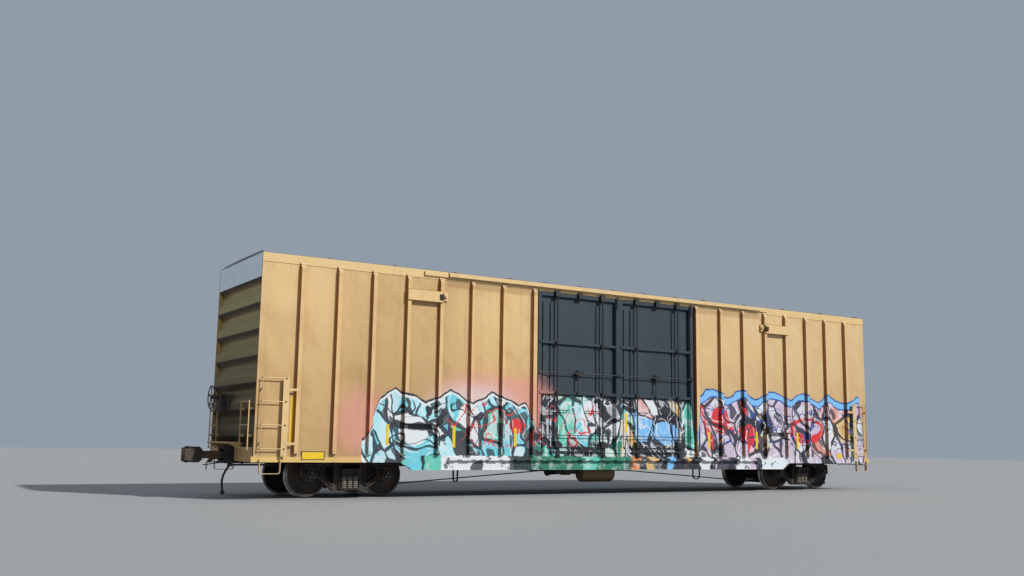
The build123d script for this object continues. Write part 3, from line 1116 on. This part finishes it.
# Cut lever of the +X end, at its -Y side: rod, handle and arm, in two hangers
cut_x = BODY_X + CUT_ROD_OUT
with BuildPart() as cut_lever:
    with BuildLine():
        cut_line = FilletPolyline(
            CUT_ARM, (cut_x, -CUT_ROD_Y[0], CUT_ROD_Z), (cut_x, -CUT_ROD_Y[1], CUT_ROD_Z),
            (cut_x, -CUT_ROD_Y[1], CUT_ROD_Z - CUT_HANDLE), radius=4 * CUT_ROD_R,
        )
    with BuildSketch(Plane(origin=CUT_ARM, z_dir=cut_line % 0)):
        Circle(CUT_ROD_R)
    sweep(path=cut_line)
    for y in CUT_ROD_HANGERS:
        with BuildSketch(Plane.XZ.offset(y + SILL_PLATE_T / 2)):
            with BuildLine():
                Polyline(
                    (BODY_X + SEAT, SILL_Z + 10), (cut_x - 30, CUT_ROD_Z - 24), (cut_x + 24, CUT_ROD_Z - 24),
                    (cut_x + 24, CUT_ROD_Z + 24), (BODY_X + SEAT, SILL_Z + 100), close=True,
                )
            make_face()
        extrude(amount=-SILL_PLATE_T)

# Coupler: shank, head with its guard arm, lugs and the knuckle's pin
with BuildPart() as coupler:
    with Locations((COUPLER_PIN_X, 0, COUPLER_Z)):
        Box(
            COUPLER_FACE_X - COUPLER_PIN_X - 280, SHANK_W, SHANK_H,
            align=(Align.MIN, Align.CENTER, Align.CENTER),
        )
        Cylinder(SHANK_W / 2, SHANK_H)
    with BuildSketch(Plane.XY.offset(COUPLER_Z - HEAD_H / 2)):
        with BuildLine():
            Polyline(
                (COUPLER_FACE_X - 330, -95), (COUPLER_FACE_X - 330, 95), (COUPLER_FACE_X - 150, 190),
                (COUPLER_FACE_X + 60, 215), (COUPLER_FACE_X + 95, 185), (COUPLER_FACE_X - 40, 120),
                (COUPLER_FACE_X - 135, 40), (COUPLER_FACE_X - 135, -175), (COUPLER_FACE_X - 200, -165),
                close=True,
            )
        guard = make_face()
    extrude(amount=HEAD_H)
    fillet(coupler.edges().filter_by(Axis.Z).group_by(Axis.X)[-1], radius=18)
    for face in (-1, 1):
        with BuildSketch(Plane.XY.offset(COUPLER_Z + face * (LUG_Z[0] + LUG_Z[1]) / 2)):
            with BuildLine():
                Polyline(
                    (COUPLER_FACE_X - 290, -60), (COUPLER_FACE_X - 290, 60), (COUPLER_FACE_X - 190, 130),
                    (COUPLER_FACE_X - 140, 130), (COUPLER_FACE_X - 140, -60), (KNUCKLE_AT[0] + 30, -72),
                    (KNUCKLE_AT[0] + 30, KNUCKLE_AT[1] - 40), (COUPLER_FACE_X - 150, -175),
                    (COUPLER_FACE_X - 210, -150), close=True,
                )
            make_face()
            with Locations(KNUCKLE_AT):
                Circle(KNUCKLE_R)
        extrude(amount=(LUG_Z[1] - LUG_Z[0]) / 2, both=True)
        with BuildSketch(Plane.XY.offset(COUPLER_Z + face * HEAD_H / 2)):
            with BuildLine():
                Polyline(
                    (COUPLER_FACE_X - 310, -60), (COUPLER_FACE_X - 310, 60), (COUPLER_FACE_X - 190, 140),
                    (COUPLER_FACE_X - 140, 140), (COUPLER_FACE_X - 140, -160), (COUPLER_FACE_X - 210, -150),
                    close=True,
                )
            make_face()
        extrude(amount=face * (LUG_Z[0] - HEAD_H / 2))
    with Locations((*KNUCKLE_AT, COUPLER_Z)):
        Cylinder(KNUCKLE_PIN_R, 2 * LUG_Z[1] + 24)
    with Locations((COUPLER_PIN_X, 0, COUPLER_Z)):
        Cylinder(COUPLER_PIN_R + SEAT, 2 * SHANK_H, mode=Mode.SUBTRACT)

# Knuckle: hub on the pin and a hooked nose, whose inner side is the pulling face
with BuildPart() as knuckle:
    with BuildSketch(Plane.XY.offset(COUPLER_Z - KNUCKLE_H / 2)):
        with BuildLine():
            Polyline(
                (KNUCKLE_AT[0] - 10, KNUCKLE_AT[1] - 58), (COUPLER_FACE_X + 10, -172),
                (COUPLER_FACE_X + 52, -128), (COUPLER_FACE_X + 66, -75), (COUPLER_FACE_X + 58, -24),
                (COUPLER_FACE_X + 22, -4), (COUPLER_FACE_X, -22), (COUPLER_FACE_X - 4, -72),
                (KNUCKLE_AT[0] + 20, KNUCKLE_AT[1] + 55), close=True,
            )
        nose = make_face()
        fillet(nose.vertices().group_by(Axis.X)[-4:][0] + nose.vertices().group_by(Axis.X)[-1], radius=12)
        with Locations(KNUCKLE_AT):
            Circle(KNUCKLE_R)
            Circle(KNUCKLE_PIN_R + SEAT, mode=Mode.SUBTRACT)
    extrude(amount=KNUCKLE_H)

# Coupler yoke: two straps and a rear block inside the centre sill, with the pin
YOKE_STRAP_T = 26.0
with BuildPart() as coupler_yoke:
    for z in (-1, 1):
        with Locations((COUPLER_PIN_X + 70, 0, COUPLER_Z + z * (SHANK_H / 2 + ROOM + YOKE_STRAP_T / 2))):
            Box(
                220, 2 * CENTRE_WEB_Y, YOKE_STRAP_T, align=(Align.MAX, Align.CENTER, Align.CENTER)
            )
    with Locations((COUPLER_PIN_X - SHANK_W / 2 - ROOM, 0, COUPLER_Z)):
        Box(
            78, 2 * CENTRE_WEB_Y, SHANK_H + 2 * (ROOM + YOKE_STRAP_T),
            align=(Align.MAX, Align.CENTER, Align.CENTER),
        )
    with Locations((COUPLER_PIN_X, 0, COUPLER_Z)):
        Cylinder(COUPLER_PIN_R, SHANK_H + 2 * ROOM + YOKE_STRAP_T)

# Axle: waisted between the wheel seats, with journals and end caps
CAP_Y = JOURNAL_Y + BEARING_L / 2 + END_CAP_GAP
with BuildPart() as axle:
    with BuildSketch(Plane.YZ):
        with BuildLine():
            Polyline(
                (0, 0), (0, AXLE_R - AXLE_WAIST), (HUB_IN - 40, AXLE_R), (HUB_IN - 12, WHEEL_SEAT_R),
                (HUB_OUT, WHEEL_SEAT_R), (HUB_OUT, DUST_GUARD_R),
                (JOURNAL_Y - BEARING_L / 2 - 14, DUST_GUARD_R), (JOURNAL_Y - BEARING_L / 2, JOURNAL_R),
                (CAP_Y, JOURNAL_R), (CAP_Y, END_CAP_R), (CAP_Y + END_CAP_T, END_CAP_R - 8),
                (CAP_Y + END_CAP_T, 0), close=True,
            )
        make_face()
        mirror(about=Plane.YZ)
    revolve(axis=Axis.Y)

# Wheel: flange, coned tread, rim, dished plate and hub, pressed on the axle
RIM_IN = TREAD_R - RIM_T
plate_mid_r = (HUB_R + RIM_IN) / 2
plate_mid = WHEEL_IN + (HUB_OFF + PLATE_OFF) / 2 - PLATE_DISH
with BuildPart() as wheel:
    with BuildSketch(Plane.YZ):
        with BuildLine():
            Polyline(
                (WHEEL_IN, RIM_IN + 8), (WHEEL_IN, TREAD_R + 8), (WHEEL_IN + 11, TREAD_R + FLANGE_H),
                (WHEEL_IN + 23, TREAD_R + FLANGE_H), (WHEEL_IN + 35, TREAD_R + 5),
                (WHEEL_IN + 44, TREAD_R), (WHEEL_IN + RIM_W - 8, TREAD_R - 5),
                (WHEEL_IN + RIM_W, TREAD_R - 14), (WHEEL_IN + RIM_W, RIM_IN + 8),
                (WHEEL_IN + RIM_W - 8, RIM_IN), (WHEEL_IN + PLATE_OFF + PLATE_T / 2, RIM_IN - 20),
                (plate_mid + PLATE_T / 2, plate_mid_r), (WHEEL_IN + HUB_OFF + PLATE_T, HUB_R + 20),
                (HUB_OUT, HUB_R), (HUB_OUT, WHEEL_SEAT_R + WHEEL_FIT),
                (HUB_IN, WHEEL_SEAT_R + WHEEL_FIT), (HUB_IN, HUB_R),
                (WHEEL_IN + HUB_OFF - PLATE_T, HUB_R + 20), (plate_mid - PLATE_T / 2, plate_mid_r),
                (WHEEL_IN + PLATE_OFF - PLATE_T / 2, RIM_IN - 20), (WHEEL_IN + 8, RIM_IN), close=True,
            )
        make_face()
    revolve(axis=Axis.Y)
half_base = WHEEL_BASE / 2

# Bearings of one truck, around the four journals
with BuildPart() as bearings:
    for x in (-half_base, half_base):
        for y in (-JOURNAL_Y, JOURNAL_Y):
            with BuildSketch(Plane.XZ.offset(-y - BEARING_L / 2)):
                with Locations((x, AXLE_Z)):
                    Circle(BEARING_R)
                    Circle(JOURNAL_R + BEARING_GAP, mode=Mode.SUBTRACT)
            extrude(amount=BEARING_L)

# Side frames of one truck: cast trusses over the bearings, flanged all round their web.
# The outline is drawn from the truck's middle out, heights from the rail
PEDESTAL_Z = AXLE_Z + BEARING_R + ADAPTER_H
PEDESTAL_OUT = half_base + PEDESTAL_HALF + PEDESTAL_HORN
frame_half = [
    (0, FRAME_TOP_Z), (400, FRAME_TOP_Z), (690, FRAME_TOP_Z - 53), (PEDESTAL_OUT - 40, FRAME_TOP_Z - 68),
    (PEDESTAL_OUT, FRAME_TOP_Z - 128), (PEDESTAL_OUT, PEDESTAL_FOOT_Z),
    (half_base + PEDESTAL_HALF, PEDESTAL_FOOT_Z), (half_base + PEDESTAL_HALF, PEDESTAL_Z),
    (half_base - PEDESTAL_HALF, PEDESTAL_Z), (half_base - PEDESTAL_HALF, PEDESTAL_FOOT_Z),
    (690, PEDESTAL_FOOT_Z - 40), (360, FRAME_FOOT_Z), (0, FRAME_FOOT_Z),
]
window_x = FRAME_BOLSTER_X + FRAME_COLUMN_W
frame_window = [
    (window_x, FRAME_TOP_Z - FRAME_CHORD_H), (640, FRAME_TOP_Z - 148), (660, PEDESTAL_FOOT_Z + 50),
    (window_x + 80, FRAME_FOOT_Z + 155), (window_x + 30, FRAME_FOOT_Z + 155),
]
with BuildSketch(Plane.XZ) as frame_face:
    with BuildLine():
        Polyline(*frame_half, *[(-x, z) for x, z in reversed(frame_half[1:-1])], close=True)
    make_face()
    for flip in (-1, 1):
        with BuildLine():
            Polyline(*[(flip * x, z) for x, z in frame_window], close=True)
        make_face(mode=Mode.SUBTRACT)
    with Locations((0, FRAME_SEAT_Z)):
        Rectangle(
            2 * FRAME_BOLSTER_X, FRAME_TOP_Z - FRAME_CHORD_H - FRAME_SEAT_Z,
            align=(Align.CENTER, Align.MIN), mode=Mode.SUBTRACT,
        )
with BuildSketch(Plane.XZ) as frame_pocket:
    add(frame_face.sketch)
    offset(amount=-FRAME_FLANGE_T, kind=Kind.INTERSECTION, mode=Mode.REPLACE)
with BuildPart() as side_frames:
    for y in (-JOURNAL_Y, JOURNAL_Y):
        with Locations((0, y, 0)):
            add(extrude(frame_face.sketch, amount=FRAME_W / 2, both=True, mode=Mode.PRIVATE))
        for side in (-1, 1):
            with Locations((0, y + side * (FRAME_W + FRAME_WEB_T) / 4, 0)):
                add(
                    extrude(
                        frame_pocket.sketch, amount=(FRAME_W - FRAME_WEB_T) / 4, both=True,
                        mode=Mode.PRIVATE,
                    ),
                    mode=Mode.SUBTRACT,
                )
        with Locations((0, y, FRAME_SEAT_Z)):
            Box(
                2 * FRAME_BOLSTER_X, 4 * SPRING_R + 20, FRAME_FLANGE_T,
                align=(Align.CENTER, Align.CENTER, Align.MAX),
            )
        for x in (-half_base, half_base):
            with Locations((x, y, PEDESTAL_Z)):
                Box(
                    ADAPTER_W, FRAME_W, PEDESTAL_Z - AXLE_Z,
                    align=(Align.CENTER, Align.CENTER, Align.MAX),
                )
            with Locations((x, y, AXLE_Z)):
                Cylinder(BEARING_R + SEAT, FRAME_W + 2, rotation=(90, 0, 0), mode=Mode.SUBTRACT)

# Truck bolster: a deep beam across, with centre bowl, side bearings and hollow ends
with BuildPart() as truck_bolster:
    end_y = JOURNAL_Y + FRAME_W / 2 + 70
    with BuildSketch(Plane.YZ.offset(-TRUCK_BOLSTER_W / 2)):
        with BuildLine():
            Polyline(
                (-end_y, SPRING_HEAD_Z), (-700, SPRING_HEAD_Z), (-420, TRUCK_BOLSTER_FOOT_Z),
                (420, TRUCK_BOLSTER_FOOT_Z), (700, SPRING_HEAD_Z), (end_y, SPRING_HEAD_Z),
                (end_y, TRUCK_BOLSTER_TOP_Z - 40), (700, TRUCK_BOLSTER_TOP_Z), (-700, TRUCK_BOLSTER_TOP_Z),
                (-end_y, TRUCK_BOLSTER_TOP_Z - 40), close=True,
            )
        make_face()
    extrude(amount=TRUCK_BOLSTER_W)
    with Locations((0, 0, TRUCK_BOLSTER_TOP_Z)):
        Cylinder(CENTRE_PLATE_R + 36, 54, align=(Align.CENTER, Align.CENTER, Align.MIN))
    with Locations((0, 0, CENTRE_PLATE_Z - CENTRE_GAP)):
        Cylinder(CENTRE_PLATE_R + 4, 60, align=(Align.CENTER, Align.CENTER, Align.MIN), mode=Mode.SUBTRACT)
    for side in (-1, 1):
        with Locations((0, side * SIDE_BEARING_Y, TRUCK_BOLSTER_TOP_Z)):
            Box(
                260, 130, BEARING_PLATE_Z - ROOM - TRUCK_BOLSTER_TOP_Z,
                align=(Align.CENTER, Align.CENTER, Align.MIN),
            )
        pocket_z = (SPRING_HEAD_Z + TRUCK_BOLSTER_TOP_Z - 40) / 2
        with BuildSketch(Plane.XZ.offset(-side * end_y)):
            with Locations((0, pocket_z)):
                RectangleRounded(BOLSTER_POCKET[0], BOLSTER_POCKET[1], 30)
        extrude(amount=side * BOLSTER_POCKET[2], mode=Mode.SUBTRACT)

# Spring groups: coils under each end of the truck bolster
with BuildPart() as springs:
    for y in (-JOURNAL_Y, JOURNAL_Y):
        with Locations((0, y, SPRING_FOOT_Z)):
            with GridLocations(2 * SPRING_R + 10, 2 * SPRING_R + 10, 3, 2):
                Cylinder(
                    SPRING_R, SPRING_HEAD_Z - SPRING_FOOT_Z,
                    align=(Align.CENTER, Align.CENTER, Align.MIN),
                )

# Brake beams of one truck: one in front of each axle with its shoes and lever, and the
# rod between the levers under the bolster
beam_x = half_base - TREAD_R - SHOE_GAP - SHOE_T - 5
with BuildPart() as brake_beams:
    for end in (-1, 1):
        with Locations((end * beam_x, 0, BRAKE_BEAM_Z)):
            Box(BRAKE_BEAM[0], JOURNAL_CENTRES - FRAME_W - 2 * SEAT, BRAKE_BEAM[1])
            Box(BRAKE_BEAM[0], BODY_LEVER[1], 2 * BRAKE_LEVER_H)
        for side in (-1, 1):
            shoe_y = side * (WHEEL_IN + RIM_W / 2 + 10)
            with BuildSketch(Plane.XZ.offset(-shoe_y - 42)):
                with Locations((end * half_base, AXLE_Z)):
                    Circle(TREAD_R + SHOE_GAP + SHOE_T)
                    Circle(TREAD_R + SHOE_GAP, mode=Mode.SUBTRACT)
                with Locations((end * (half_base - TREAD_R - 40), BRAKE_BEAM_Z + 10)):
                    Rectangle(150, 330, mode=Mode.INTERSECT)
            extrude(amount=84)
    with BuildSketch(Plane.YZ.offset(-beam_x)):
        with Locations((0, BOTTOM_ROD_Z)):
            Circle(BOTTOM_ROD_R)
    extrude(amount=2 * beam_x)

# The leaves of one side are alike, not mirrored, and the other side is this one turned
leaf_shift = Pos(-LEAF_STEP, 0, 0)
for side, turn in (("left", Rotation(0, 0, 0)), ("right", Rotation(0, 0, 180))):
    near, far = ("a", "b") if side == "left" else ("b", "a")
    save(turn * door_leaf.part, f"door_{side}_{near}")
    save(turn * leaf_shift * door_leaf.part, f"door_{side}_{far}")
    locks = group(door_lock.part, leaf_shift * door_lock.part, rod_seat.part)
    save(turn * locks, f"door_locks_{side}")
    save(turn * door_hood.part, f"door_hood_{side}")
for side, sy in SIDES:
    for end, sx in ENDS:
        save(corner(side_wall.part, sx, sy), f"side_wall_{side}_{end}")
    save(corner(both_ends(side_posts.part), 1, sy), f"side_posts_{side}")
    save(corner(side_plate.part, 1, sy), f"side_plate_{side}")
    save(corner(side_sill.part, 1, sy), f"side_sill_{side}")
save(group(door_stop.part, turned(door_stop.part)), "door_stops")
save(roof.part, "roof")
save(floor.part, "load_floor")
save(centre_sill.part, "centre_sill")
save(both_sides(both_ends(body_bolster.part)), "body_bolsters")
save(both_sides(crossbearers.part), "crossbearers")
save(both_ends(end_sill.part), "end_sills")
save(both_sides(both_ends(sill_step.part)), "sill_steps")
save(both_ends(coupler_yoke.part), "coupler_yokes")
save(group(platforms.part), "platforms")
for end, sx in ENDS:
    facing = Rotation(0, 0, 0 if sx > 0 else 180)
    save(corner(end_wall.part, sx, 1), f"end_wall_{end}")
    save(corner(both_sides(ladders.part), sx, 1), f"ladders_{end}")
    save(facing * coupler.part, f"coupler_{end}")
    save(facing * knuckle.part, f"knuckle_{end}")
    save(facing * air_hose.part, f"air_hose_{end}")
    truck = Pos(sx * TRUCK_X, 0, 0)
    save(truck * truck_bolster.part, f"truck_bolster_{end}")
    save(truck * side_frames.part, f"side_frames_{end}")
    save(truck * springs.part, f"springs_{end}")
    save(truck * bearings.part, f"bearings_{end}")
    save(truck * brake_beams.part, f"brake_beams_{end}")
    for number, x in ((1, -half_base), (2, half_base)):
        wheelset = group(axle.part, both_sides(wheel.part))
        save(Pos(sx * TRUCK_X + x, 0, AXLE_Z) * wheelset, f"wheelset_{end}{number}")
save(group(corner(brake_case.part, -1, 1), corner(brake_wheel.part, -1, 1)), "hand_brake")
save(air_tank.part, "air_tank")
save(brake_cylinder.part, "brake_cylinder")
save(control_valve.part, "control_valve")
save(group(brake_rods.part, rod_guides.part), "brake_rods")
save(group(train_pipe.part), "train_pipe")
save(group(cut_lever.part, turned(cut_lever.part)), "cut_levers")
save(group(gladhand.part, turned(gladhand.part)), "gladhands")
